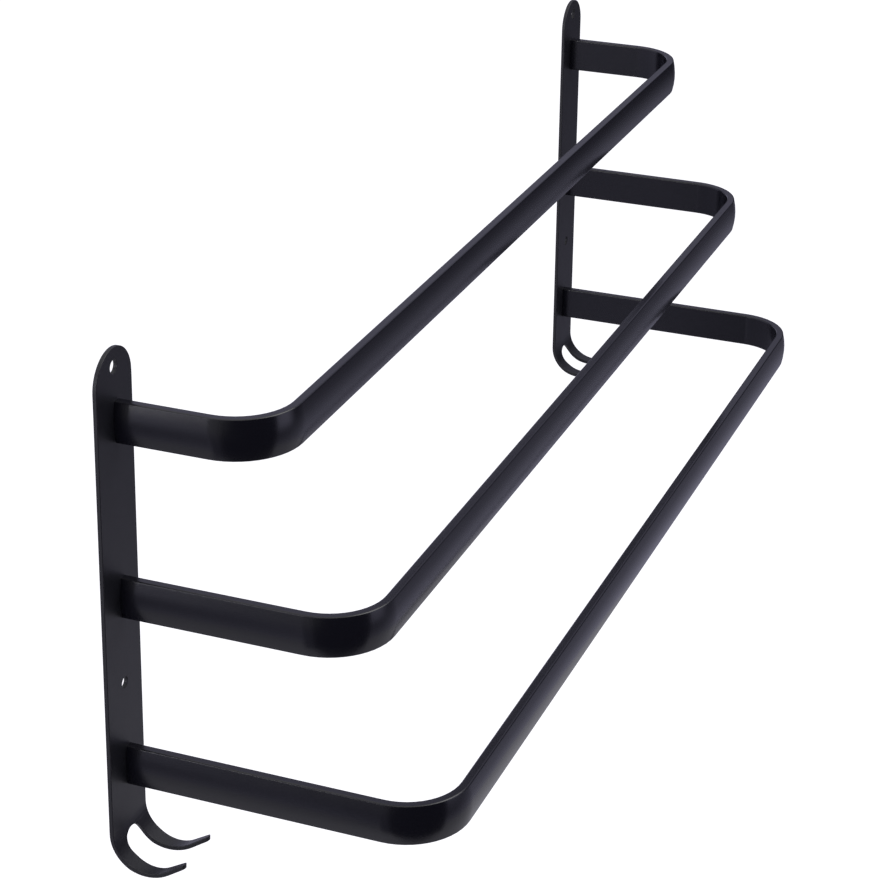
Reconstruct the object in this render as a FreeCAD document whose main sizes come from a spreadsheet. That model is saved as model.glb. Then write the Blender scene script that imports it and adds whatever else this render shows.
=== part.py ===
import FreeCAD, Part
import math
import os

import Sketcher
from FreeCAD import Placement, Rotation, Vector

# Wall-mounted towel holder: three flat bars, crowned on the outside and bent into U shaped rails, one
# above the other and each reaching further from the wall than the one above, between two flat wall
# strips. The lower end of each strip is split and bent forward into a pair of hooks. Screws from the
# wall side hold the rails.
#
# Frame: +Z up, +Y into the wall, the wall's face at Y = 0. The origin is on the wall, midway between
# the two upper fixing holes, where the holder is marked out for hanging.

# Driving dimensions, in millimetres and degrees.
SIZES = {
    # wall strips
    "strip_spacing": 600.0,  # between the middle lines of the two strips
    "strip_width": 31.0,
    "strip_thickness": 2.0,
    "strip_top_margin": 8.5,  # from the upper fixing hole up to the round top end
    "upper_hole_diameter": 6.5,
    "lower_hole_diameter": 5.5,
    # hooks at the foot of each strip
    "hook_drop": 27.0,  # from the bottom rail's middle down to the start of the bend
    "hook_bend_radius": 18.0,  # outer face
    "hook_bend_angle": 122.0,
    "hook_reach": 35.5,  # from the wall to the tips
    "prong_gap": 14.2,  # between the two prongs where they part
    "prong_gap_drop": 4.2,  # from the start of the bend down to the round end of the gap
    "prong_taper_start": 9.0,  # from the wall to where the prongs start to narrow
    "prong_tip_gap": 20.6,
    "prong_tip_width": 3.0,
    # rails
    "first_rail_drop": 25.0,  # from the upper fixing hole down to the top rail's middle
    "rail_pitch": 82.5,  # from one rail down to the next
    "arm_inset": 1.0,  # from a strip's middle line in to the middle of the rail arms on it
    "top_rail_reach": 75.5,  # from the wall to the front face
    "middle_rail_reach": 117.5,
    "bottom_rail_reach": 153.0,
    "rail_corner_radius": 31.0,  # front face, round the bend
    "bar_height": 19.2,
    "bar_thickness": 5.5,
    "bar_crown": 1.3,  # swell of the outer broad face
    "bar_edge_radius": 0.8,
    # countersunk screws that hold the rails
    "screw_pitch": 10.0,  # between the two screws in one rail end
    "screw_diameter": 3.0,
    "screw_length": 12.0,
    "screw_head_sink": 0.15,  # below the strip's wall face
    "screw_head_rim": 0.35,  # straight edge above the head's cone
    "screw_head_land": 0.2,  # strip left beyond the point of the head's cone
    "screw_point": 0.5,  # chamfer at the end of the thread
    "screw_clearance": 0.2,  # round the thread where it passes the strip
    "thread_runout": 1.0,  # bore left beyond the end of the screw
    "recess_span": 3.2,  # cross recess in the screw head
    "recess_width": 0.8,
    "recess_depth": 1.0,
    # how far cutting shapes run past the material
    "overrun": 5.0,
}

COUNTERSINK_ANGLE = 90.0  # across the cone, so it narrows on each side as fast as it deepens
FULL_TURN = 360.0
SIDES = {"left": -1, "right": 1}
RAILS = ("top", "middle", "bottom")
LEVELS = {"upper": 1, "lower": -1}

doc = FreeCAD.newDocument("TowelHolder")
sheet = doc.addObject("Spreadsheet::Sheet", "dims")


class Size:
    """A size worked out from the sheet: its number, and the expression that gives it."""

    def __init__(self, value, text):
        self.value = value
        self.text = text

    def __add__(self, other):
        return Size(self.value + other.value, f"({self.text} + {other.text})")

    def __sub__(self, other):
        return Size(self.value - other.value, f"({self.text} - {other.text})")

    def __mul__(self, factor):
        return Size(self.value * factor, f"({self.text} * {factor})")

    def __truediv__(self, divisor):
        return Size(self.value / divisor, f"({self.text} / {divisor})")

    def __neg__(self):
        return Size(-self.value, f"(0 - {self.text})")


def size(name):
    return Size(SIZES[name], f"dims.{name}")


ORIGIN = Size(0.0, "0")


def fill_sheet():
    for row, (name, value) in enumerate(SIZES.items(), start=1):
        sheet.set(f"A{row}", name)
        sheet.set(f"B{row}", str(value))
        sheet.setAlias(f"B{row}", name)
    doc.recompute()


def new_body(label):
    body = doc.addObject("PartDesign::Body", label)
    body.Label = label
    return body


def place(body, x, y, z):
    body.Placement = Placement(Vector(x.value, y.value, z.value), Rotation())
    for axis, offset in zip("xyz", (x, y, z)):
        body.setExpression(f".Placement.Base.{axis}", offset.text)


def new_sketch(body, name, plane_role):
    sketch = body.newObject("Sketcher::SketchObject", name)
    plane = next(f for f in body.Origin.OriginFeatures if f.Role == plane_role)
    sketch.AttachmentSupport = (plane, [""])
    sketch.MapMode = "FlatFace"
    return sketch


def point(x, y):
    return Vector(x, y, 0)


def add_line(sketch, start, end):
    return sketch.addGeometry(Part.LineSegment(point(*start), point(*end)), False)


def add_arc(sketch, center, radius, start_degrees, end_degrees):
    circle = Part.Circle(point(*center), Vector(0, 0, 1), radius)
    arc = Part.ArcOfCircle(circle, math.radians(start_degrees), math.radians(end_degrees))
    return sketch.addGeometry(arc, False)


def constrain(sketch, kind, *refs):
    return sketch.addConstraint(Sketcher.Constraint(kind, *refs))


def drive(sketch, kind, *refs_and_size):
    """Add a dimension whose value follows the sheet."""
    *refs, length = refs_and_size
    value = math.radians(length.value) if kind == "Angle" else length.value
    index = sketch.addConstraint(Sketcher.Constraint(kind, *refs, value))
    unit = "deg" if kind == "Angle" else "mm"
    sketch.setExpression(f"Constraints[{index}]", f"{length.text} * 1 {unit}")


def pin(sketch, element, end, x, y):
    """Hold one end of an element at a place measured from the sketch's origin."""
    drive(sketch, "DistanceX", -1, 1, element, end, x)
    drive(sketch, "DistanceY", -1, 1, element, end, y)


def join(sketch, element, end, other, other_end):
    constrain(sketch, "Coincident", element, end, other, other_end)


def add_outline(sketch, corners, half_circles=()):
    """Draw a closed outline through the corners. A side named in half_circles leaves its corner as
    an anticlockwise half circle, and every other side is straight."""
    sides = []
    for number, (x, y) in enumerate(corners):
        next_x, next_y = corners[(number + 1) % len(corners)]
        start = (x.value, y.value)
        if number in half_circles:
            middle = (x + next_x) / 2
            side = add_arc(sketch, (middle.value, y.value), *arc_span(x, next_x))
            pin(sketch, side, 3, middle, y)
            constrain(sketch, "Horizontal", side, 1, side, 2)
        else:
            side = add_line(sketch, start, (next_x.value, next_y.value))
        if number - 1 not in half_circles:
            pin(sketch, side, 1, x, y)
        sides.append(side)
    for side, following in zip(sides, sides[1:] + sides[:1]):
        join(sketch, side, 2, following, 1)


def arc_span(start_x, end_x):
    radius = abs(end_x.value - start_x.value) / 2
    start_degrees = 0 if start_x.value > end_x.value else 180
    return radius, start_degrees, start_degrees + 180


def cut_through(body, sketch, name):
    pocket = body.newObject("PartDesign::Pocket", name)
    pocket.Profile = sketch
    pocket.Type = "ThroughAll"
    pocket.SideType = "Symmetric"
    return pocket


def cut_to_depth(body, sketch, name, depth):
    """Sink a pocket away from the wall, into material in front of the sketch."""
    pocket = body.newObject("PartDesign::Pocket", name)
    pocket.Profile = sketch
    pocket.Reversed = True
    pocket.setExpression("Length", depth.text)
    return pocket


def add_circles(sketch, radius, centers):
    for x, z in centers:
        circle = Part.Circle(point(x.value, z.value), Vector(0, 0, 1), radius.value)
        element = sketch.addGeometry(circle, False)
        drive(sketch, "Radius", element, radius)
        pin(sketch, element, 3, x, z)


def rail_level(number):
    """Height of a rail's middle, below the upper fixing holes."""
    return -(size("first_rail_drop") + size("rail_pitch") * number)


def arm_place():
    """From the middle of a rail to the middle of its right arm."""
    return size("strip_spacing") / 2 - size("arm_inset")


def bend_level():
    return rail_level(len(RAILS) - 1) - size("hook_drop")


def screw_levels():
    """Heights of the two screws in a rail end, from the rail's middle."""
    return {name: size("screw_pitch") / 2 * way for name, way in LEVELS.items()}


def head_radius():
    """The screw head's cone widens from the thread and fills the strip but for the land."""
    straight = size("screw_head_sink") + size("screw_head_rim") + size("screw_head_land")
    return size("screw_diameter") / 2 + size("strip_thickness") - straight


# Wall strips


def draw_strip_side(body):
    """The strip seen from its side: straight along the wall, round the bend and out to the tips,
    which run past the reach of the hooks and are trimmed later."""
    sketch = new_sketch(body, "SideProfile", "YZ_Plane")
    thickness = size("strip_thickness")
    outer = size("hook_bend_radius")
    bend = size("hook_bend_angle")
    tip = size("hook_reach")
    top = size("strip_top_margin")
    low = bend_level()

    def on_bend(radius, along=0.0):
        turn = math.radians(bend.value)
        y = -outer.value + radius * math.cos(turn) - along * math.sin(turn)
        z = low.value - radius * math.sin(turn) - along * math.cos(turn)
        return y, z

    inner = outer - thickness
    center = (-outer.value, low.value)
    back = add_line(sketch, (0.0, top.value), (0.0, low.value))
    outer_bend = add_arc(sketch, center, outer.value, -bend.value, 0)
    tip_under = add_line(sketch, on_bend(outer.value), on_bend(outer.value, tip.value))
    tip_end = add_line(sketch, on_bend(outer.value, tip.value), on_bend(inner.value, tip.value))
    tip_over = add_line(sketch, on_bend(inner.value, tip.value), on_bend(inner.value))
    inner_bend = add_arc(sketch, center, inner.value, -bend.value, 0)
    front = add_line(sketch, (-thickness.value, low.value), (-thickness.value, top.value))
    top_edge = add_line(sketch, (-thickness.value, top.value), (0.0, top.value))

    constrain(sketch, "Tangent", back, 2, outer_bend, 2)
    constrain(sketch, "Tangent", outer_bend, 1, tip_under, 1)
    join(sketch, tip_under, 2, tip_end, 1)
    join(sketch, tip_end, 2, tip_over, 1)
    constrain(sketch, "Tangent", tip_over, 2, inner_bend, 1)
    constrain(sketch, "Tangent", inner_bend, 2, front, 1)
    join(sketch, front, 2, top_edge, 1)
    join(sketch, top_edge, 2, back, 1)
    join(sketch, inner_bend, 3, outer_bend, 3)
    constrain(sketch, "Vertical", back)
    constrain(sketch, "Vertical", front)
    constrain(sketch, "Horizontal", top_edge)
    constrain(sketch, "Perpendicular", tip_under, tip_end)
    constrain(sketch, "Parallel", tip_under, tip_over)
    pin(sketch, back, 1, ORIGIN, top)
    drive(sketch, "DistanceY", -1, 1, outer_bend, 3, low)
    drive(sketch, "Radius", outer_bend, outer)
    drive(sketch, "DistanceX", front, 2, back, 1, thickness)
    drive(sketch, "Distance", tip_under, tip)
    drive(sketch, "Angle", outer_bend, bend)
    return sketch


def draw_round_end(body):
    """What is cut away round the top end of the strip."""
    sketch = new_sketch(body, "RoundEnd", "XZ_Plane")
    half = size("strip_width") / 2
    shoulder = size("strip_top_margin") - half
    side = half + size("overrun")
    above = size("strip_top_margin") + size("overrun")
    corners = [(half, shoulder), (-half, shoulder), (-side, shoulder), (-side, above), (side, above)]
    add_outline(sketch, corners + [(side, shoulder)], half_circles={0})
    return sketch


def draw_gap_root(body):
    """The round end of the gap between the prongs, seen from the front."""
    sketch = new_sketch(body, "GapRoot", "XZ_Plane")
    half = size("prong_gap") / 2
    root = bend_level() - size("prong_gap_drop") - half
    below = bend_level() - size("hook_bend_radius") - size("overrun")
    add_outline(sketch, [(half, root), (-half, root), (-half, below), (half, below)], half_circles={0})
    return sketch


def draw_prong_waste(body):
    """What is cut away beside, between and beyond the two prongs, seen from above."""
    sketch = new_sketch(body, "ProngOutline", "XY_Plane")
    strip_half = size("strip_width") / 2
    gap_half = size("prong_gap") / 2
    tip_inner = size("prong_tip_gap") / 2
    tip_outer = tip_inner + size("prong_tip_width")
    start = -size("prong_taper_start")
    tip = size("prong_tip_width") / 2 - size("hook_reach")
    side = strip_half + size("overrun")
    beyond = -(size("hook_reach") + size("hook_bend_radius") * 2 + size("overrun"))
    corners = [
        (-side, start),
        (-strip_half, start),
        (-tip_outer, tip),
        (-tip_inner, tip),
        (-gap_half, start),
        (gap_half, start),
        (tip_inner, tip),
        (tip_outer, tip),
        (strip_half, start),
        (side, start),
        (side, beyond),
        (-side, beyond),
    ]
    add_outline(sketch, corners, half_circles={2, 6})
    return sketch


def draw_fixing_holes(body):
    """The two holes for the wall screws, on the strip's middle line."""
    sketch = new_sketch(body, "FixingHoles", "XZ_Plane")
    lower_level = (rail_level(1) + rail_level(2)) / 2
    add_circles(sketch, size("upper_hole_diameter") / 2, [(ORIGIN, ORIGIN)])
    add_circles(sketch, size("lower_hole_diameter") / 2, [(ORIGIN, lower_level)])
    return sketch


def draw_rail_screw_holes(body, offset):
    sketch = new_sketch(body, "RailScrewHoles", "XZ_Plane")
    levels = [rail_level(number) + step for number in range(len(RAILS)) for step in screw_levels().values()]
    add_circles(sketch, size("screw_diameter") / 2 + size("screw_clearance"), [(offset, z) for z in levels])
    return sketch


def sink_rail_screw_holes(body, sketch):
    """Countersinks open towards the wall, so that the screw heads lie below the strip's face."""
    doc.recompute()
    hole = body.newObject("PartDesign::Hole", "Countersinks")
    hole.Profile = sketch
    hole.Reversed = True
    hole.DepthType = "ThroughAll"
    hole.HoleCutType = "Countersink"
    hole.HoleCutCustomValues = True
    rim = size("screw_head_rim") + size("screw_head_sink")
    hole.setExpression("Diameter", (size("screw_diameter") + size("screw_clearance") * 2).text)
    hole.setExpression("HoleCutDiameter", ((head_radius() + rim) * 2).text)
    hole.HoleCutCountersinkAngle = COUNTERSINK_ANGLE
    return hole


def make_strip(side):
    body = new_body(f"{side}_wall_strip")
    pad = body.newObject("PartDesign::Pad", "Strip")
    pad.Profile = draw_strip_side(body)
    pad.SideType = "Symmetric"
    pad.setExpression("Length", size("strip_width").text)
    cut_through(body, draw_round_end(body), "TopEnd")
    cut_through(body, draw_gap_root(body), "ProngGap")
    cut_through(body, draw_prong_waste(body), "Prongs")
    cut_through(body, draw_fixing_holes(body), "WallScrewHoles")
    sink_rail_screw_holes(body, draw_rail_screw_holes(body, size("arm_inset") * -SIDES[side]))
    place(body, size("strip_spacing") / 2 * SIDES[side], ORIGIN, ORIGIN)
    return body


# Rails


def draw_bar_section(body, arm):
    """The bar's section at the end of the left arm: a flat inner face, towards the middle of the
    rail, a crowned outer face and four rounded edges."""
    sketch = new_sketch(body, "Section", "XZ_Plane")
    sketch.setExpression(".AttachmentOffset.Base.x", (-arm).text)
    height = size("bar_height")
    half_bar = size("bar_thickness") / 2
    crown = size("bar_crown")
    edge = size("bar_edge_radius")
    top_z = height.value / 2
    rise = top_z - edge.value
    radius = Size(
        (top_z**2 + crown.value**2) / (2 * crown.value),
        f"((({height.text} / 2) ^ 2 / {crown.text} + {crown.text}) / 2)",
    )
    center = radius - half_bar
    outer_x = center.value - math.sqrt((radius.value - edge.value) ** 2 - rise**2)
    inner_x = half_bar.value - edge.value
    turn = math.degrees(math.asin(rise / (radius.value - edge.value)))

    inner = add_line(sketch, (half_bar.value, -rise), (half_bar.value, rise))
    upper_inner = add_arc(sketch, (inner_x, rise), edge.value, 0, 90)
    top = add_line(sketch, (inner_x, top_z), (outer_x, top_z))
    upper_outer = add_arc(sketch, (outer_x, rise), edge.value, 90, 180 - turn)
    outer = add_arc(sketch, (center.value, 0), radius.value, 180 - turn, 180 + turn)
    lower_outer = add_arc(sketch, (outer_x, -rise), edge.value, 180 + turn, 270)
    bottom = add_line(sketch, (outer_x, -top_z), (inner_x, -top_z))
    lower_inner = add_arc(sketch, (inner_x, -rise), edge.value, 270, 360)

    sides = [inner, upper_inner, top, upper_outer, outer, lower_outer, bottom, lower_inner]
    for side, following in zip(sides, sides[1:] + sides[:1]):
        constrain(sketch, "Tangent", side, 2, following, 1)
    for rounding in (upper_inner, upper_outer, lower_outer, lower_inner):
        drive(sketch, "Radius", rounding, edge)
    drive(sketch, "Radius", outer, radius)
    pin(sketch, outer, 3, center, ORIGIN)
    constrain(sketch, "Vertical", inner)
    constrain(sketch, "Horizontal", top)
    constrain(sketch, "Horizontal", bottom)
    drive(sketch, "DistanceX", -1, 1, inner, 1, half_bar)
    drive(sketch, "DistanceY", -1, 1, top, 1, height / 2)
    drive(sketch, "DistanceY", bottom, 1, -1, 1, height / 2)
    return sketch


def draw_rail_path(body, arm, depth, radius):
    """The bar's middle line seen from above: out from the left strip, across and back."""
    sketch = new_sketch(body, "Path", "XY_Plane")
    left_x, right_x = -arm.value, arm.value
    front_y = -depth.value
    bend_y = radius.value - depth.value
    left = add_line(sketch, (left_x, 0), (left_x, bend_y))
    left_bend = add_arc(sketch, (left_x + radius.value, bend_y), radius.value, 180, 270)
    front = add_line(sketch, (left_x + radius.value, front_y), (right_x - radius.value, front_y))
    right_bend = add_arc(sketch, (right_x - radius.value, bend_y), radius.value, 270, 360)
    right = add_line(sketch, (right_x, bend_y), (right_x, 0))
    chain = [left, left_bend, front, right_bend, right]
    for element, following in zip(chain, chain[1:]):
        constrain(sketch, "Tangent", element, 2, following, 1)
    constrain(sketch, "Vertical", left)
    constrain(sketch, "Vertical", right)
    constrain(sketch, "Horizontal", front)
    constrain(sketch, "Equal", left_bend, right_bend)
    drive(sketch, "Radius", left_bend, radius)
    pin(sketch, left, 1, -arm, ORIGIN)
    pin(sketch, right, 2, arm, ORIGIN)
    drive(sketch, "DistanceY", front, 1, -1, 1, depth)
    return sketch


def draw_threaded_holes(body, arm):
    sketch = new_sketch(body, "ThreadedHoles", "XZ_Plane")
    centers = [(arm * way, step) for way in SIDES.values() for step in screw_levels().values()]
    add_circles(sketch, size("screw_diameter") / 2, centers)
    return sketch


def make_rail(name, number):
    body = new_body(f"{name}_rail")
    half_bar = size("bar_thickness") / 2
    arm = arm_place()
    depth = size(f"{name}_rail_reach") - size("strip_thickness") - half_bar
    bar = body.newObject("PartDesign::AdditivePipe", "Bar")
    bar.Profile = draw_bar_section(body, arm)
    bar.Spine = draw_rail_path(body, arm, depth, size("rail_corner_radius") - half_bar)
    in_bar = size("screw_length") + size("screw_head_sink") - size("strip_thickness")
    cut_to_depth(body, draw_threaded_holes(body, arm), "Threads", in_bar + size("thread_runout"))
    place(body, ORIGIN, -size("strip_thickness"), rail_level(number))
    return body


# Screws


def make_screw(label, x, z):
    """A countersunk screw with a cross recess, its head towards the wall."""
    body = new_body(label)
    head = head_radius()
    shank = size("screw_diameter") / 2
    face = -size("screw_head_sink")
    rim = face - size("screw_head_rim")
    end = face - size("screw_length")
    chamfer = size("screw_point")
    outline = new_sketch(body, "HalfOutline", "XY_Plane")
    add_outline(
        outline,
        [
            (ORIGIN, face),
            (ORIGIN, end),
            (shank - chamfer, end),
            (shank, end + chamfer),
            (shank, rim - head + shank),
            (head, rim),
            (head, face),
        ],
    )
    turned = body.newObject("PartDesign::Revolution", "Turned")
    turned.Profile = outline
    turned.ReferenceAxis = (outline, ["V_Axis"])
    turned.Angle = FULL_TURN
    recess = new_sketch(body, "CrossRecess", "XZ_Plane")
    span = size("recess_span") / 2
    slot = size("recess_width") / 2
    quarter = [(span, -slot), (span, slot), (slot, slot)]
    corners = []
    for _ in range(4):
        corners += quarter
        quarter = [(-v, u) for u, v in quarter]
    add_outline(recess, corners)
    cut_to_depth(body, recess, "Recess", size("recess_depth") + size("screw_head_sink"))
    place(body, x, ORIGIN, z)
    return body


def make_rail_screws(rail, number):
    """Two screws, one above the other, in each end of a rail."""
    screws = []
    for side, way in SIDES.items():
        for level, step in screw_levels().items():
            label = f"{rail}_rail_{side}_{level}_screw"
            screws.append(make_screw(label, arm_place() * way, rail_level(number) + step))
    return screws


# Checking and export


def check(parts):
    """Stop if any object failed to compute, or any sub-part is empty or broken."""
    for item in doc.Objects:
        if "Invalid" in item.State or "Error" in item.State:
            raise RuntimeError(f"{item.Label} did not compute: {item.State}")
    for part in parts:
        if part.Shape.isNull() or not part.Shape.isValid() or len(part.Shape.Solids) != 1:
            raise RuntimeError(f"{part.Label} is not one sound solid")


def export(parts):
    os.makedirs("parts", exist_ok=True)
    for part in parts:
        part.Shape.exportStep(f"parts/{part.Label}.step")
        print(f"{part.Label}: {part.Shape.Volume:.1f} cubic millimetres")


def main():
    fill_sheet()
    parts = [make_strip(side) for side in SIDES]
    for number, rail in enumerate(RAILS):
        parts.append(make_rail(rail, number))
        parts += make_rail_screws(rail, number)
    doc.recompute()
    check(parts)
    export(parts)


main()
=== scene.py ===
import math

import bpy
from bpy.props import FloatProperty, FloatVectorProperty, PointerProperty
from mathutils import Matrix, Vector


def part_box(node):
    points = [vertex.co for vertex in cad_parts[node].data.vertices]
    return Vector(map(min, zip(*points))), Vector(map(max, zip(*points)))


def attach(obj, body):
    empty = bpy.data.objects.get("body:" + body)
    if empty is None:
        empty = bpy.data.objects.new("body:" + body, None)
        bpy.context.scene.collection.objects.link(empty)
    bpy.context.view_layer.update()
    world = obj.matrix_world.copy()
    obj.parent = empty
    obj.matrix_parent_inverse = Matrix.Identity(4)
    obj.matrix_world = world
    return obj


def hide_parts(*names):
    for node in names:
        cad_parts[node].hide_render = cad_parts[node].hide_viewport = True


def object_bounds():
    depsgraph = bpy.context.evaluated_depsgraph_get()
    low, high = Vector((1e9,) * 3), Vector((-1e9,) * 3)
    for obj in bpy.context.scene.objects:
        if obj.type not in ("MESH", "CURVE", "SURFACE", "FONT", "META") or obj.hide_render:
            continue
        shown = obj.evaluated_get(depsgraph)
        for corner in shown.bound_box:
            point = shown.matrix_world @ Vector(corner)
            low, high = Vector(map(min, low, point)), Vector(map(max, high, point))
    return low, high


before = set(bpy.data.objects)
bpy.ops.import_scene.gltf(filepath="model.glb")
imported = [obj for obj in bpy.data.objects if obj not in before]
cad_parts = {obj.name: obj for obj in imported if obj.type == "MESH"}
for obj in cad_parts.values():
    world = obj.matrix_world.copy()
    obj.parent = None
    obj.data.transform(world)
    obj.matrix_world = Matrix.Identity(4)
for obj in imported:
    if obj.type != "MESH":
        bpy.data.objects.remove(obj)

# Wall-mounted towel holder: two flat wall strips with a pair of hooks at the foot of each, three bars
# bent into U shaped rails between them, and the screws that hold the rails from the wall side.
# Lengths are metres. +Z is up, +Y points into the wall and the wall's face is at Y = 0.

bl_info = {
    "name": "Towel Holder",
    "version": (1, 0, 0),
    "blender": (4, 5, 0),
    "location": "3D View > Sidebar > Towel Holder",
    "description": "Finishes the strips, rails and screws of a wall-mounted towel holder",
    "category": "Object",
}

CAD_BOX = [list(corner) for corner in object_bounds()]
BODY = "root"
PLATING_SLOT = "plated_steel"
STRIPS = ("left_wall_strip", "right_wall_strip")
RAILS = ("top_rail", "middle_rail", "bottom_rail")
SCREWS = tuple(sorted(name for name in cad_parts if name.endswith("_screw")))
CARDS = ("dark_card", "grey_card", "upper_card", "pale_card")
FLOOR_DROP = 1.8  # from the origin down to the floor
QUARTER_TURN = math.radians(90.0)


# Sizes and colours


class TowelHolderCoat(bpy.types.PropertyGroup):
    color: FloatVectorProperty(
        name="Coat Colour",
        description="Colour of the powder coat on the strips and rails",
        subtype="COLOR",
        size=4,
        min=0.0,
        max=1.0,
        default=(0.0038, 0.0037, 0.0066, 1.0),
    )
    # Paler colour for the edges: partly rubbed coat, partly a painted edge highlight.
    worn_and_sheen_color: FloatVectorProperty(
        name="Worn And Sheen Colour",
        description="Colour of the coat where its edges are rubbed",
        subtype="COLOR",
        size=4,
        min=0.0,
        max=1.0,
        default=(0.012, 0.012, 0.017, 1.0),
    )
    rail_roughness: FloatProperty(
        name="Rail Roughness",
        description="How dull the coat on the rails is",
        subtype="FACTOR",
        min=0.0,
        max=1.0,
        default=0.2,
    )
    strip_roughness: FloatProperty(
        name="Strip Roughness",
        description="How dull the coat on the wall strips is",
        subtype="FACTOR",
        min=0.0,
        max=1.0,
        default=0.45,
    )
    grain_size: FloatProperty(
        name="Grain Size",
        description="Distance from one grain of the powder coat to the next",
        unit="LENGTH",
        min=0.0001,
        default=0.0006,
    )
    grain_depth: FloatProperty(
        name="Grain Depth",
        description="Height of the powder coat's grain",
        unit="LENGTH",
        min=0.0,
        default=0.00001,
    )
    # Reach and strength of the paler edges, which are partly rubbed coat and partly a painted edge
    # highlight.
    wear_and_sheen_width: FloatProperty(
        name="Wear Width",
        description="How far the rubbed colour reaches from an edge",
        unit="LENGTH",
        min=0.0,
        default=0.0008,
    )
    wear_and_sheen_amount: FloatProperty(
        name="Wear Amount",
        description="How strongly the edges show the rubbed colour",
        subtype="FACTOR",
        min=0.0,
        max=1.0,
        default=0.6,
    )


class TowelHolderPlating(bpy.types.PropertyGroup):
    color: FloatVectorProperty(
        name="Plating Colour",
        description="Colour of the bright zinc plating on the rail screws",
        subtype="COLOR",
        size=4,
        min=0.0,
        max=1.0,
        default=(0.62, 0.63, 0.65, 1.0),
    )
    tarnish_color: FloatVectorProperty(
        name="Tarnish Colour",
        description="Colour of the plating where it has dulled",
        subtype="COLOR",
        size=4,
        min=0.0,
        max=1.0,
        default=(0.42, 0.43, 0.46, 1.0),
    )
    roughness: FloatProperty(
        name="Plating Roughness",
        description="How dull the plating is",
        subtype="FACTOR",
        min=0.0,
        max=1.0,
        default=0.3,
    )


class TowelHolderStrips(bpy.types.PropertyGroup):
    edge_radius: FloatProperty(
        name="Edge Radius",
        description="Rounding that the coat gives the edges of the wall strips",
        unit="LENGTH",
        min=0.0,
        max=0.0009,
        default=0.0003,
    )


def card_settings(angle, distance, foot, size, glow):
    """The settings of one upright card that stands or hangs round the object."""
    return {
        "angle": FloatProperty(
            name="Angle",
            description="Direction from the origin to the card, turned from +X towards +Y",
            subtype="ANGLE",
            default=math.radians(angle),
        ),
        "distance": FloatProperty(
            name="Distance",
            description="From the origin to the card",
            unit="LENGTH",
            default=distance,
        ),
        "foot": FloatProperty(
            name="Foot",
            description="Level of the card's lower edge",
            unit="LENGTH",
            default=foot,
        ),
        "size": FloatVectorProperty(
            name="Size",
            description="Width and height of the card",
            unit="LENGTH",
            size=2,
            min=0.01,
            default=size,
        ),
        "glow": FloatProperty(
            name="Glow",
            description="Brightness of the card",
            min=0.0,
            default=glow,
        ),
    }


class TowelHolderDarkCard(bpy.types.PropertyGroup):
    """The dark side of the room, seen in the left corners"""

    __annotations__ = card_settings(219.5, 1.49, -FLOOR_DROP, (2.5, 3.0), 0.0)


class TowelHolderGreyCard(bpy.types.PropertyGroup):
    """The room beside the dark card, seen where the left arms start to bend"""

    __annotations__ = card_settings(173.6, 1.962, -FLOOR_DROP, (0.66, 3.0), 0.1)


class TowelHolderUpperCard(bpy.types.PropertyGroup):
    """A raised card that dims the upper half of the left arms"""

    __annotations__ = card_settings(161.55, 2.003, -0.62, (0.181, 0.97), 0.25)


class TowelHolderPaleCard(bpy.types.PropertyGroup):
    """A low pale card, seen in the inside of the right arms"""

    __annotations__ = card_settings(167.0, 2.3, -1.6, (0.4, 0.8), 0.65)


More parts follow.
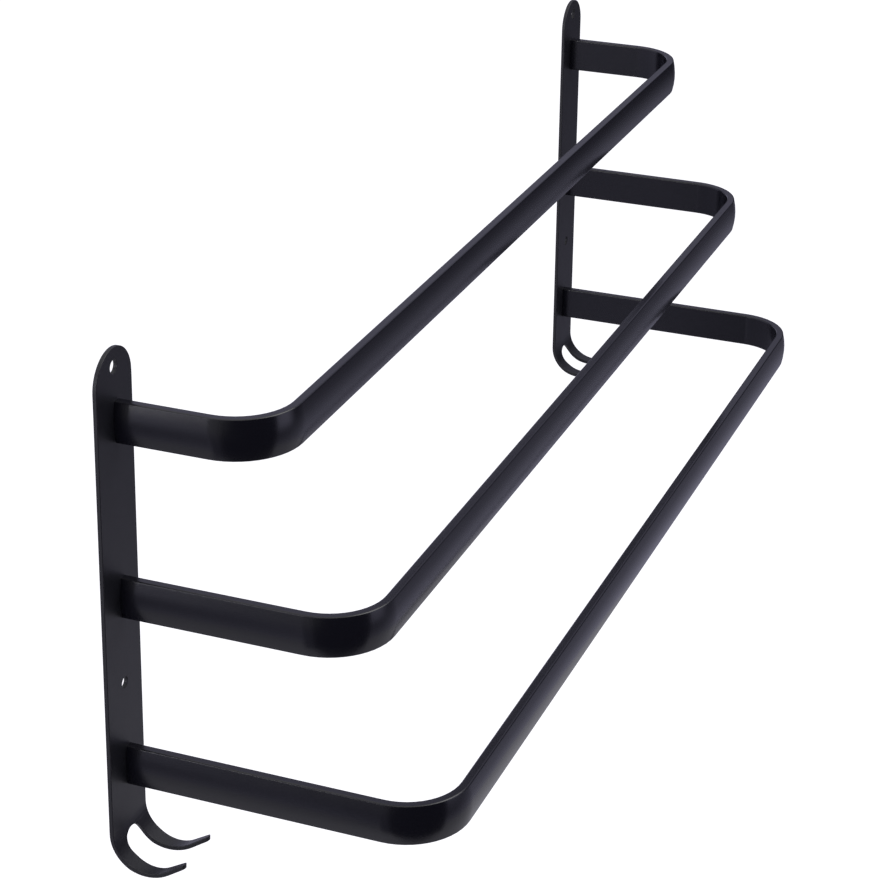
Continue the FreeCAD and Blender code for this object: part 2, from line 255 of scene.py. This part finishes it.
class TowelHolderStage(bpy.types.PropertyGroup):
    floor_color: FloatVectorProperty(
        name="Floor Colour",
        description="Colour of the pale floor",
        subtype="COLOR",
        size=4,
        min=0.0,
        max=1.0,
        default=(0.8, 0.79, 0.88, 1.0),
    )
    floor_drop: FloatProperty(
        name="Floor Drop",
        description="From the origin down to the floor",
        unit="LENGTH",
        default=FLOOR_DROP,
    )
    floor_radius: FloatProperty(
        name="Floor Radius",
        description="Half the width of the floor",
        unit="LENGTH",
        default=9.0,
    )
    floor_lift: FloatProperty(
        name="Floor Lift",
        description="How much the floor is lifted to white where the camera sees it",
        min=0.0,
        default=0.7,
    )
    wall_tint: FloatVectorProperty(
        name="Wall Tint",
        description="Tint of the round wall that reflections see",
        subtype="COLOR",
        size=3,
        min=0.0,
        max=2.0,
        default=(0.97, 0.95, 1.26),
    )
    wall_radius: FloatProperty(
        name="Wall Radius",
        description="From the origin to the round wall that reflections see",
        unit="LENGTH",
        default=2.6,
    )
    front_angle: FloatProperty(
        name="Front Angle",
        description="Direction of the wall's front part, turned from +X towards +Y",
        subtype="ANGLE",
        default=math.radians(-21.0),
    )
    fill_light: FloatProperty(
        name="Fill Light",
        description="Strength of the even light from all round",
        min=0.0,
        default=0.48,
    )
    overhead_place: FloatVectorProperty(
        name="Overhead Lamp Place",
        description="Where the large lamp above the front hangs",
        subtype="TRANSLATION",
        unit="LENGTH",
        size=3,
        default=(0.3, -1.4, 1.5),
    )
    overhead_size: FloatVectorProperty(
        name="Overhead Size",
        description="Width and height of the large lamp overhead",
        unit="LENGTH",
        size=2,
        min=0.01,
        default=(1.6, 1.6),
    )
    overhead_power: FloatProperty(
        name="Overhead Power",
        description="Power of the large lamp overhead",
        unit="POWER",
        min=0.0,
        default=22.0,
    )
    side_place: FloatVectorProperty(
        name="Side Lamp Place",
        description="Where the lamp at the left stands",
        subtype="TRANSLATION",
        unit="LENGTH",
        size=3,
        default=(-2.1, 0.4, 0.2),
    )
    side_size: FloatVectorProperty(
        name="Side Size",
        description="Width and height of the lamp at the left",
        unit="LENGTH",
        size=2,
        min=0.01,
        default=(0.89, 0.9),
    )
    side_power: FloatProperty(
        name="Side Power",
        description="Power of the lamp at the left",
        unit="POWER",
        min=0.0,
        default=14.6,
    )
    camera_place: FloatVectorProperty(
        name="Camera Place",
        description="Where the camera stands",
        subtype="TRANSLATION",
        unit="LENGTH",
        size=3,
        default=(-1.164958, -0.476741, 0.419111),
    )
    camera_turn: FloatVectorProperty(
        name="Camera Turn",
        description="The camera's angles about X, Y and Z",
        subtype="EULER",
        size=3,
        default=tuple(math.radians(angle) for angle in (69.1464, -0.5571, -68.4687)),
    )
    camera_lens: FloatProperty(
        name="Camera Lens",
        description="Focal length in millimetres",
        default=105.295,
    )
    camera_shift: FloatVectorProperty(
        name="Camera Shift",
        description="How far the lens is shifted, as a share of the picture's width",
        size=2,
        default=(0.0182, -0.1989),
    )


# Shader node groups

SMEARS_TO_PATCHES = 7.0  # smears are this much finer than patches


def add_node(tree, kind, place, **settings):
    node = tree.nodes.new(kind)
    node.location = place
    for name, value in settings.items():
        setattr(node, name, value)
    return node


def set_inputs(node, values):
    for name, value in values.items():
        node.inputs[name].default_value = value


def wire(tree, *pairs):
    for start, end in pairs:
        tree.links.new(start, end)


def new_group(name, inputs, outputs):
    """A shader node group with named float inputs and outputs."""
    group = bpy.data.node_groups.new(name, "ShaderNodeTree")
    for label, value in inputs.items():
        socket = group.interface.new_socket(label, in_out="INPUT", socket_type="NodeSocketFloat")
        socket.default_value = value
    for label in outputs:
        group.interface.new_socket(label, in_out="OUTPUT", socket_type="NodeSocketFloat")
    start = add_node(group, "NodeGroupInput", (-900, 0))
    end = add_node(group, "NodeGroupOutput", (600, 0))
    return group, start, end


def make_grain_group():
    """Fine grain of a powder coat, as a height."""
    group, start, end = new_group("Powder Grain", {"Scale": 1600.0}, ("Height",))
    where = add_node(group, "ShaderNodeTexCoord", (-900, -200))
    grain = add_node(group, "ShaderNodeTexNoise", (-600, 100))
    set_inputs(grain, {"Detail": 2.0, "Roughness": 0.6})
    wire(
        group,
        (where.outputs["Object"], grain.inputs["Vector"]),
        (start.outputs["Scale"], grain.inputs["Scale"]),
        (grain.outputs["Fac"], end.inputs["Height"]),
    )
    return group


def make_wear_and_sheen_group():
    """Mask of the edges for rubbed coat and a painted edge highlight: how far the rounded surface leans
    away from the true one, broken up by noise.
    """
    group, start, end = new_group("Edge Wear And Sheen", {"Radius": 0.0008, "Amount": 1.0}, ("Mask",))
    rounded = add_node(group, "ShaderNodeBevel", (-700, 200), samples=6)
    true = add_node(group, "ShaderNodeNewGeometry", (-700, 0))
    lean = add_node(group, "ShaderNodeVectorMath", (-450, 100), operation="DOT_PRODUCT")
    edge = add_node(group, "ShaderNodeMapRange", (-200, 100))
    set_inputs(edge, {"From Min": 0.985, "From Max": 0.8, "To Min": 0.0, "To Max": 1.0})
    where = add_node(group, "ShaderNodeTexCoord", (-900, -300))
    rub = add_node(group, "ShaderNodeTexNoise", (-600, -300))
    set_inputs(rub, {"Scale": 60.0, "Detail": 5.0, "Roughness": 0.65})
    patches = add_node(group, "ShaderNodeMapRange", (-300, -300))
    set_inputs(patches, {"From Min": 0.4, "From Max": 0.7, "To Min": 0.0, "To Max": 1.0})
    both = add_node(group, "ShaderNodeMath", (0, 0), operation="MULTIPLY")
    scaled = add_node(group, "ShaderNodeMath", (250, 0), operation="MULTIPLY", use_clamp=True)
    wire(
        group,
        (start.outputs["Radius"], rounded.inputs["Radius"]),
        (rounded.outputs["Normal"], lean.inputs[0]),
        (true.outputs["Normal"], lean.inputs[1]),
        (lean.outputs["Value"], edge.inputs["Value"]),
        (where.outputs["Object"], rub.inputs["Vector"]),
        (rub.outputs["Fac"], patches.inputs["Value"]),
        (edge.outputs["Result"], both.inputs[0]),
        (patches.outputs["Result"], both.inputs[1]),
        (both.outputs["Value"], scaled.inputs[0]),
        (start.outputs["Amount"], scaled.inputs[1]),
        (scaled.outputs["Value"], end.inputs["Mask"]),
    )
    return group


def make_handling_group():
    """Slow changes over a surface: a wide mask for colour and a finer one for roughness."""
    group, start, end = new_group("Handling", {"Scale": 14.0}, ("Patches", "Smears"))
    where = add_node(group, "ShaderNodeTexCoord", (-900, -200))
    wide = add_node(group, "ShaderNodeTexNoise", (-500, 100))
    set_inputs(wide, {"Detail": 3.0, "Roughness": 0.5})
    finer = add_node(group, "ShaderNodeMath", (-700, -300), operation="MULTIPLY")
    finer.inputs[1].default_value = SMEARS_TO_PATCHES
    smears = add_node(group, "ShaderNodeTexNoise", (-500, -200))
    set_inputs(smears, {"Detail": 4.0, "Roughness": 0.6, "Distortion": 0.4})
    wire(
        group,
        (where.outputs["Object"], wide.inputs["Vector"]),
        (where.outputs["Object"], smears.inputs["Vector"]),
        (start.outputs["Scale"], wide.inputs["Scale"]),
        (start.outputs["Scale"], finer.inputs[0]),
        (finer.outputs["Value"], smears.inputs["Scale"]),
        (wide.outputs["Fac"], end.inputs["Patches"]),
        (smears.outputs["Fac"], end.inputs["Smears"]),
    )
    return group


GROUP_MAKERS = {
    "Powder Grain": make_grain_group,
    "Edge Wear And Sheen": make_wear_and_sheen_group,
    "Handling": make_handling_group,
}


def use_group(tree, name, place, values):
    """A node for a shared group, which is built the first time it is asked for."""
    node = add_node(tree, "ShaderNodeGroup", place)
    node.node_tree = bpy.data.node_groups.get(name) or GROUP_MAKERS[name]()
    set_inputs(node, values)
    return node


# Materials

COAT_PATCHES = 14.0  # patches to a metre
COAT_LIFT = 1.35  # how many times brighter the coat's palest patches are
COAT_SPREAD = 0.03  # how far the coat's roughness strays either way
PLATING_PATCHES = 220.0  # patches to a metre
PLATING_SPREAD = (-0.1, 0.12)  # how far the plating's roughness strays
PLATING_GRAIN = 6000.0  # grains to a metre
PLATING_GRAIN_DEPTH = 0.000004


def new_material(name):
    material = bpy.data.materials.new(name)
    material.use_nodes = True
    tree = material.node_tree
    tree.nodes.clear()
    shader = add_node(tree, "ShaderNodeBsdfPrincipled", (400, 0))
    output = add_node(tree, "ShaderNodeOutputMaterial", (700, 0))
    wire(tree, (shader.outputs["BSDF"], output.inputs["Surface"]))
    return material, tree, shader


def make_coat(name, roughness):
    """Satin powder coat: dark, finely grained and a little paler along its edges, partly as rubbed coat
    and partly as a painted edge highlight.
    """
    coat = bpy.context.scene.towel_holder_coat
    material, tree, shader = new_material(name)
    grain = use_group(tree, "Powder Grain", (-700, -300), {"Scale": 1.0 / coat.grain_size})
    # Paler edges: rubbed coat together with a painted edge highlight.
    rubbing_and_sheen = {"Radius": coat.wear_and_sheen_width, "Amount": coat.wear_and_sheen_amount}
    wear_and_sheen = use_group(tree, "Edge Wear And Sheen", (-700, 300), rubbing_and_sheen)
    handling = use_group(tree, "Handling", (-700, 0), {"Scale": COAT_PATCHES})

    tone = add_node(tree, "ShaderNodeMix", (-400, 300), data_type="RGBA")
    tone.inputs["A"].default_value = coat.color
    tone.inputs["B"].default_value = [channel * COAT_LIFT for channel in coat.color[:3]] + [1.0]
    # Mixes in the paler edge colour, partly rubbed coat and partly a painted edge highlight.
    rubbed_and_sheen = add_node(tree, "ShaderNodeMix", (-100, 300), data_type="RGBA")
    rubbed_and_sheen.inputs["B"].default_value = coat.worn_and_sheen_color
    dull = add_node(tree, "ShaderNodeMapRange", (-400, -100))
    set_inputs(dull, {"To Min": roughness - COAT_SPREAD, "To Max": roughness + COAT_SPREAD})
    bump = add_node(tree, "ShaderNodeBump", (0, -300))
    bump.inputs["Distance"].default_value = coat.grain_depth
    wire(
        tree,
        (handling.outputs["Patches"], tone.inputs["Factor"]),
        (tone.outputs["Result"], rubbed_and_sheen.inputs["A"]),
        (wear_and_sheen.outputs["Mask"], rubbed_and_sheen.inputs["Factor"]),
        (rubbed_and_sheen.outputs["Result"], shader.inputs["Base Color"]),
        (handling.outputs["Smears"], dull.inputs["Value"]),
        (dull.outputs["Result"], shader.inputs["Roughness"]),
        (grain.outputs["Height"], bump.inputs["Height"]),
        (bump.outputs["Normal"], shader.inputs["Normal"]),
    )
    shader.inputs["Specular IOR Level"].default_value = 0.5
    return material


def make_plating(name):
    """Bright zinc plating, dulled in patches."""
    plating = bpy.context.scene.towel_holder_plating
    material, tree, shader = new_material(name)
    handling = use_group(tree, "Handling", (-700, 0), {"Scale": PLATING_PATCHES})
    grain = use_group(tree, "Powder Grain", (-700, -300), {"Scale": PLATING_GRAIN})
    tone = add_node(tree, "ShaderNodeMix", (-300, 200), data_type="RGBA")
    tone.inputs["A"].default_value = plating.tarnish_color
    tone.inputs["B"].default_value = plating.color
    dull = add_node(tree, "ShaderNodeMapRange", (-300, -100))
    smoothest, dullest = (plating.roughness + spread for spread in PLATING_SPREAD)
    set_inputs(dull, {"To Min": smoothest, "To Max": dullest})
    bump = add_node(tree, "ShaderNodeBump", (0, -300))
    bump.inputs["Distance"].default_value = PLATING_GRAIN_DEPTH
    wire(
        tree,
        (handling.outputs["Patches"], tone.inputs["Factor"]),
        (tone.outputs["Result"], shader.inputs["Base Color"]),
        (handling.outputs["Smears"], dull.inputs["Value"]),
        (dull.outputs["Result"], shader.inputs["Roughness"]),
        (grain.outputs["Height"], bump.inputs["Height"]),
        (bump.outputs["Normal"], shader.inputs["Normal"]),
    )
    shader.inputs["Metallic"].default_value = 1.0
    return material


def coat_with(piece, material):
    """Put one material in every slot of a piece."""
    if not piece.data.materials:
        piece.data.materials.append(material)
    for slot in piece.material_slots:
        slot.material = material


# Pieces

SAME_POINT = 1e-6  # points nearer than this are one
FLAT_ANGLE = math.radians(0.5)  # faces that meet flatter than this become one face
SMOOTH_ANGLE = math.radians(35.0)  # faces that meet flatter than this are shaded as one
SHARP_ANGLE = math.radians(40.0)  # edges of a strip sharper than this are rounded
EDGE_STEPS = 3  # faces across a rounded edge
FLAT_WEIGHT = 100  # how far the largest faces outweigh the others in the shading
HOOK_TOP = -0.215  # level below which a strip has only its hooks
CROWDED = 0.0005  # points on the hooks nearer than this are merged
FIXING_HOLES = (0.0, -0.14875)  # levels of the holes on a strip's middle line
GAP_ROOT = -0.2212  # level of the round end of the gap between a strip's prongs
SHARP_REACH = 0.0045  # radius round a hole or a gap's end within which edges stay as they are


def activate(piece):
    bpy.ops.object.select_all(action="DESELECT")
    piece.select_set(True)
    bpy.context.view_layer.objects.active = piece


def thin_out_hooks(piece):
    """Merge crowded points below a strip's flat part, which would keep the rounding narrow."""
    bpy.ops.mesh.select_all(action="DESELECT")
    bpy.ops.object.mode_set(mode="OBJECT")
    for point in piece.data.vertices:
        point.select = point.co.z < HOOK_TOP
    bpy.ops.object.mode_set(mode="EDIT")
    bpy.ops.mesh.select_mode(type="VERT")
    bpy.ops.mesh.remove_doubles(threshold=CROWDED)


def weigh_outer_edges(piece, node_name):
    """Mark a strip's sharp edges for rounding, apart from those of its holes and its gap's end."""
    low, high = map(Vector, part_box(node_name))
    spots = [Vector(((low.x + high.x) / 2, 0.0, level)) for level in (*FIXING_HOLES, GAP_ROOT)]
    spots += [(Vector(low) + Vector(high)) / 2 for low, high in map(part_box, SCREWS)]
    bpy.ops.object.mode_set(mode="EDIT")
    bpy.ops.mesh.select_mode(type="EDGE")
    bpy.ops.mesh.select_all(action="DESELECT")
    bpy.ops.mesh.edges_select_sharp(sharpness=SHARP_ANGLE)
    bpy.ops.object.mode_set(mode="OBJECT")
    mesh = piece.data
    weights = mesh.attributes.new("bevel_weight_edge", "FLOAT", "EDGE")
    for edge in mesh.edges:
        middle = (mesh.vertices[edge.vertices[0]].co + mesh.vertices[edge.vertices[1]].co) / 2
        kept_sharp = any(math.dist(middle.xz, spot.xz) < SHARP_REACH for spot in spots)
        weights.data[edge.index].value = float(edge.select and not kept_sharp)


def joined_copy(node_name, piece_name):
    """A copy of a CAD solid, joined into one closed surface with whole flat faces."""
    piece = bpy.data.objects.new(piece_name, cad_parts[node_name].data.copy())
    bpy.context.scene.collection.objects.link(piece)
    activate(piece)
    bpy.ops.object.mode_set(mode="EDIT")
    bpy.ops.mesh.select_all(action="SELECT")
    bpy.ops.mesh.remove_doubles(threshold=SAME_POINT)
    if node_name in STRIPS:
        thin_out_hooks(piece)
    bpy.ops.mesh.select_all(action="SELECT")
    bpy.ops.mesh.dissolve_limited(angle_limit=FLAT_ANGLE)
    bpy.ops.object.mode_set(mode="OBJECT")
    bpy.ops.object.shade_smooth_by_angle(angle=SMOOTH_ANGLE)
    return piece


def round_edges(piece, node_name, radius):
    """Round the sharp outer edges of a strip."""
    weigh_outer_edges(piece, node_name)
    bevel = piece.modifiers.new("Edges", "BEVEL")
    bevel.width = radius
    bevel.segments = EDGE_STEPS
    bevel.limit_method = "WEIGHT"
    bevel.use_clamp_overlap = False
    bevel.harden_normals = True
    bpy.ops.object.modifier_apply(modifier=bevel.name)


def settle_normals(piece):
    """Let the large flat faces set the shading, so that they stay even up to their rounded edges."""
    flats = piece.modifiers.new("Flats", "WEIGHTED_NORMAL")
    flats.weight = FLAT_WEIGHT
    flats.keep_sharp = True
    bpy.ops.object.modifier_apply(modifier=flats.name)


def put_in_place(piece, node_name, coat):
    """Coat a finished piece, which takes the place of a CAD node on the body."""
    coat_with(piece, coat)
    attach(piece, BODY)
    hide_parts(node_name)


class TOWELHOLDER_OT_strips(bpy.types.Operator):
    """Round the edges of the wall strips and coat them"""

    bl_idname = "towel_holder.strips"
    bl_label = "Wall Strips"
    bl_options = {"REGISTER", "UNDO"}

    def execute(self, context):
        radius = context.scene.towel_holder_strips.edge_radius
        coat = make_coat("Strip Coat", context.scene.towel_holder_coat.strip_roughness)
        for node_name in STRIPS:
            piece = joined_copy(node_name, node_name.replace("wall_strip", "strip_plate"))
            round_edges(piece, node_name, radius)
            settle_normals(piece)
            put_in_place(piece, node_name, coat)
        return {"FINISHED"}


class TOWELHOLDER_OT_rails(bpy.types.Operator):
    """Even out the shading of the three rails and coat them"""

    bl_idname = "towel_holder.rails"
    bl_label = "Rails"
    bl_options = {"REGISTER", "UNDO"}

    def execute(self, context):
        coat = make_coat("Rail Coat", context.scene.towel_holder_coat.rail_roughness)
        for node_name in RAILS:
            piece = joined_copy(node_name, node_name.replace("rail", "bar"))
            settle_normals(piece)
            put_in_place(piece, node_name, coat)
        return {"FINISHED"}


class TOWELHOLDER_OT_screws(bpy.types.Operator):
    """Plate the screws that hold the rails"""

    bl_idname = "towel_holder.screws"
    bl_label = "Rail Screws"
    bl_options = {"REGISTER", "UNDO"}

    def execute(self, context):
        plating = make_plating("Screw Plating")
        for name in SCREWS:
            coat_with(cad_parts[name], plating)
        return {"FINISHED"}


# Stage

# Greys of the studio wall: heights from the origin, each with how bright the wall is there. The front
# part faces the rails' long runs. The rest has the side's greys, which show in the outside of the left
# arms.
FRONT_SHADES = (
    (-FLOOR_DROP, 0.4),
    (-1.27, 0.26),
    (-0.8, 0.15),
    (-0.4, 0.03),
    (0.4, 0.015),
    (0.75, 0.42),
    (2.4, 0.45),
)
SIDE_SHADES = (
    (-FLOOR_DROP, 0.4),
    (-1.27, 0.18),
    (-0.95, 0.19),
    (-0.75, 0.45),
    (-0.6, 0.72),
    (-0.4, 0.9),
    (0.4, 0.9),
    (0.75, 0.42),
    (2.4, 0.45),
)
WALL_SIDES = 96
SENSOR_WIDTH = 36.0  # millimetres
FRONT_START, FRONT_WHOLE = 0.55, 0.75  # shares of the wall's radius, measured in the front direction
NEAREST_SEEN = 0.01  # things nearer to the camera than this don't show


def shade_by_height(stage, tree, height, shades, place):
    """A colour ramp that turns a height into one of the studio wall's greys."""
    low, high = shades[0][0], shades[-1][0]
    rise = add_node(tree, "ShaderNodeMapRange", place)
    set_inputs(rise, {"From Min": low, "From Max": high})
    shade = add_node(tree, "ShaderNodeValToRGB", (place[0] + 200, place[1]))
    stops = shade.color_ramp.elements
    for level, _ in shades[1:-1]:
        stops.new((level - low) / (high - low))
    for stop, (_, grey) in zip(stops, shades):
        stop.color = [grey * channel for channel in stage.wall_tint] + [1.0]
    wire(tree, (height, rise.inputs["Value"]), (rise.outputs["Result"], shade.inputs["Fac"]))
    return shade.outputs["Color"]


def make_floor(stage):
    """A wide pale floor, which keeps the shadow and is lifted to white where the camera sees it."""
    bpy.ops.object.select_all(action="DESELECT")
    bpy.ops.mesh.primitive_plane_add(size=stage.floor_radius * 2, location=(0.0, 0.0, -stage.floor_drop))
    floor = bpy.context.object
    floor.name = "floor"
    bpy.ops.object.transform_apply(location=True, rotation=True, scale=True)
    material, tree, shader = new_material("Floor")
    shader.inputs["Base Color"].default_value = stage.floor_color
    shader.inputs["Roughness"].default_value = 0.9
    shader.inputs["Specular IOR Level"].default_value = 0.0
    shader.inputs["Emission Color"].default_value = (1.0, 1.0, 1.0, 1.0)
    path = add_node(tree, "ShaderNodeLightPath", (-200, -200))
    lift = add_node(tree, "ShaderNodeMath", (100, -200), operation="MULTIPLY")
    lift.inputs[1].default_value = stage.floor_lift
    wire(
        tree,
        (path.outputs["Is Camera Ray"], lift.inputs[0]),
        (lift.outputs["Value"], shader.inputs["Emission Strength"]),
    )
    coat_with(floor, material)


def show_in_reflections_only(piece):
    for hidden in ("visible_camera", "visible_diffuse", "visible_shadow", "visible_transmission"):
        setattr(piece, hidden, False)


def add_card(name, settings, tint):
    """An upright card that only reflections see, set round the object and facing it."""
    angle, distance = settings.angle, settings.distance
    middle = settings.foot + settings.size[1] / 2
    bpy.ops.object.select_all(action="DESELECT")
    bpy.ops.mesh.primitive_plane_add(
        size=1.0,
        location=(distance * math.cos(angle), distance * math.sin(angle), middle),
        rotation=(QUARTER_TURN, 0.0, angle + QUARTER_TURN),
    )
    card = bpy.context.object
    card.name = name
    card.scale = (*settings.size, 1.0)
    bpy.ops.object.transform_apply(location=True, rotation=True, scale=True)
    show_in_reflections_only(card)
    material, _, shader = new_material(name.replace("_", " ").title())
    shader.inputs["Base Color"].default_value = (0.01, 0.01, 0.012, 1.0)
    shader.inputs["Roughness"].default_value = 1.0
    shader.inputs["Specular IOR Level"].default_value = 0.0
    shader.inputs["Emission Color"].default_value = (*tint, 1.0)
    shader.inputs["Emission Strength"].default_value = settings.glow
    coat_with(card, material)


def make_studio_wall(stage):
    """A round wall that only reflections see, with greys of its own in front."""
    bpy.ops.object.select_all(action="DESELECT")
    low, high = FRONT_SHADES[0][0], FRONT_SHADES[-1][0]
    bpy.ops.mesh.primitive_cylinder_add(
        vertices=WALL_SIDES,
        radius=stage.wall_radius,
        depth=high - low,
        end_fill_type="NOTHING",
        location=(0.0, 0.0, (low + high) / 2),
    )
    wall = bpy.context.object
    wall.name = "studio_wall"
    bpy.ops.object.transform_apply(location=True, rotation=True, scale=True)
    show_in_reflections_only(wall)
    material, tree, shader = new_material("Studio Wall")
    shader.inputs["Base Color"].default_value = (0.0, 0.0, 0.0, 1.0)
    shader.inputs["Specular IOR Level"].default_value = 0.0
    shader.inputs["Emission Strength"].default_value = 1.0
    where = add_node(tree, "ShaderNodeTexCoord", (-800, 0))
    split = add_node(tree, "ShaderNodeSeparateXYZ", (-600, 0))
    front = shade_by_height(stage, tree, split.outputs["Z"], FRONT_SHADES, (-400, 0))
    side = shade_by_height(stage, tree, split.outputs["Z"], SIDE_SHADES, (-400, 300))
    along = add_node(tree, "ShaderNodeVectorMath", (-600, -300), operation="DOT_PRODUCT")
    angle = stage.front_angle
    along.inputs[1].default_value = (math.cos(angle), math.sin(angle), 0.0)
    ahead = add_node(tree, "ShaderNodeMapRange", (-400, -300))
    start, whole = (stage.wall_radius * share for share in (FRONT_START, FRONT_WHOLE))
    set_inputs(ahead, {"From Min": start, "From Max": whole})
    shade = add_node(tree, "ShaderNodeMix", (0, 150), data_type="RGBA")
    wire(
        tree,
        (where.outputs["Object"], split.inputs["Vector"]),
        (where.outputs["Object"], along.inputs[0]),
        (along.outputs["Value"], ahead.inputs["Value"]),
        (ahead.outputs["Result"], shade.inputs["Factor"]),
        (side, shade.inputs["A"]),
        (front, shade.inputs["B"]),
        (shade.outputs["Result"], shader.inputs["Emission Color"]),
    )
    coat_with(wall, material)


def make_world(stage):
    """White behind the object, and an even fill light."""
    world = bpy.data.worlds.new("Studio")
    bpy.context.scene.world = world
    world.use_nodes = True
    tree = world.node_tree
    tree.nodes.clear()
    path = add_node(tree, "ShaderNodeLightPath", (-600, 0))
    seen = add_node(tree, "ShaderNodeMath", (-400, 100), operation="MAXIMUM")
    shown = add_node(tree, "ShaderNodeMath", (-200, 0), operation="MAXIMUM")
    strength = add_node(tree, "ShaderNodeMapRange", (0, 0))
    set_inputs(strength, {"To Min": stage.fill_light, "To Max": 1.0})
    background = add_node(tree, "ShaderNodeBackground", (200, 0))
    background.inputs["Color"].default_value = (1.0, 1.0, 1.0, 1.0)
    output = add_node(tree, "ShaderNodeOutputWorld", (400, 0))
    wire(
        tree,
        (path.outputs["Is Camera Ray"], seen.inputs[0]),
        (path.outputs["Is Glossy Ray"], seen.inputs[1]),
        (seen.outputs["Value"], shown.inputs[0]),
        (path.outputs["Is Transmission Ray"], shown.inputs[1]),
        (shown.outputs["Value"], strength.inputs["Value"]),
        (strength.outputs["Result"], background.inputs["Strength"]),
        (background.outputs["Background"], output.inputs["Surface"]),
    )


def add_lamp(name, place, size, power):
    """A rectangular lamp that faces the middle of the object."""
    lamp = bpy.data.lights.new(name, "AREA")
    lamp.shape = "RECTANGLE"
    lamp.size, lamp.size_y = size
    lamp.energy = power
    holder = bpy.data.objects.new(name, lamp)
    holder.location = place
    middle = (Vector(CAD_BOX[0]) + Vector(CAD_BOX[1])) / 2
    holder.rotation_euler = (middle - Vector(place)).to_track_quat("-Z", "Y").to_euler()
    bpy.context.scene.collection.objects.link(holder)


def add_camera(stage):
    camera = bpy.data.objects.new("camera", bpy.data.cameras.new("camera"))
    camera.location = stage.camera_place
    camera.rotation_euler = stage.camera_turn
    camera.data.lens = stage.camera_lens
    camera.data.sensor_width = SENSOR_WIDTH
    camera.data.shift_x, camera.data.shift_y = stage.camera_shift
    camera.data.clip_start = NEAREST_SEEN
    bpy.context.scene.collection.objects.link(camera)
    bpy.context.scene.camera = camera


class TOWELHOLDER_OT_stage(bpy.types.Operator):
    """Add the floor, the studio light and the camera"""

    bl_idname = "towel_holder.stage"
    bl_label = "Stage"
    bl_options = {"REGISTER", "UNDO"}

    def execute(self, context):
        stage = context.scene.towel_holder_stage
        context.scene.view_settings.view_transform = "Standard"
        make_floor(stage)
        make_studio_wall(stage)
        for name in CARDS:
            add_card(name, getattr(context.scene, "towel_holder_" + name), stage.wall_tint)
        make_world(stage)
        add_lamp("overhead_lamp", stage.overhead_place, stage.overhead_size, stage.overhead_power)
        add_lamp("side_lamp", stage.side_place, stage.side_size, stage.side_power)
        add_camera(stage)
        return {"FINISHED"}


class VIEW3D_PT_towel_holder(bpy.types.Panel):
    bl_label = "Towel Holder"
    bl_space_type = "VIEW_3D"
    bl_region_type = "UI"
    bl_category = "Towel Holder"

    def draw(self, context):
        layout = self.layout
        for group in GROUPS:
            settings = getattr(context.scene, group)
            box = layout.box()
            box.label(text=group.replace("towel_holder_", "").replace("_", " ").title())
            for name in settings.bl_rna.properties.keys():
                if name not in ("rna_type", "name"):
                    box.prop(settings, name)
        for operator in OPERATORS:
            layout.operator(operator.bl_idname)


GROUPS = {
    "towel_holder_coat": TowelHolderCoat,
    "towel_holder_plating": TowelHolderPlating,
    "towel_holder_strips": TowelHolderStrips,
    "towel_holder_dark_card": TowelHolderDarkCard,
    "towel_holder_grey_card": TowelHolderGreyCard,
    "towel_holder_upper_card": TowelHolderUpperCard,
    "towel_holder_pale_card": TowelHolderPaleCard,
    "towel_holder_stage": TowelHolderStage,
}
OPERATORS = (
    TOWELHOLDER_OT_strips,
    TOWELHOLDER_OT_rails,
    TOWELHOLDER_OT_screws,
    TOWELHOLDER_OT_stage,
)


def register():
    for name, group in GROUPS.items():
        bpy.utils.register_class(group)
        setattr(bpy.types.Scene, name, PointerProperty(type=group))
    for operator in OPERATORS:
        bpy.utils.register_class(operator)
    bpy.utils.register_class(VIEW3D_PT_towel_holder)


def unregister():
    bpy.utils.unregister_class(VIEW3D_PT_towel_holder)
    for operator in reversed(OPERATORS):
        bpy.utils.unregister_class(operator)
    for name, group in reversed(GROUPS.items()):
        delattr(bpy.types.Scene, name)
        bpy.utils.unregister_class(group)


def main():
    register()
    bpy.ops.towel_holder.strips()
    bpy.ops.towel_holder.rails()
    bpy.ops.towel_holder.screws()
    bpy.ops.towel_holder.stage()


if __name__ == "__main__":
    main()
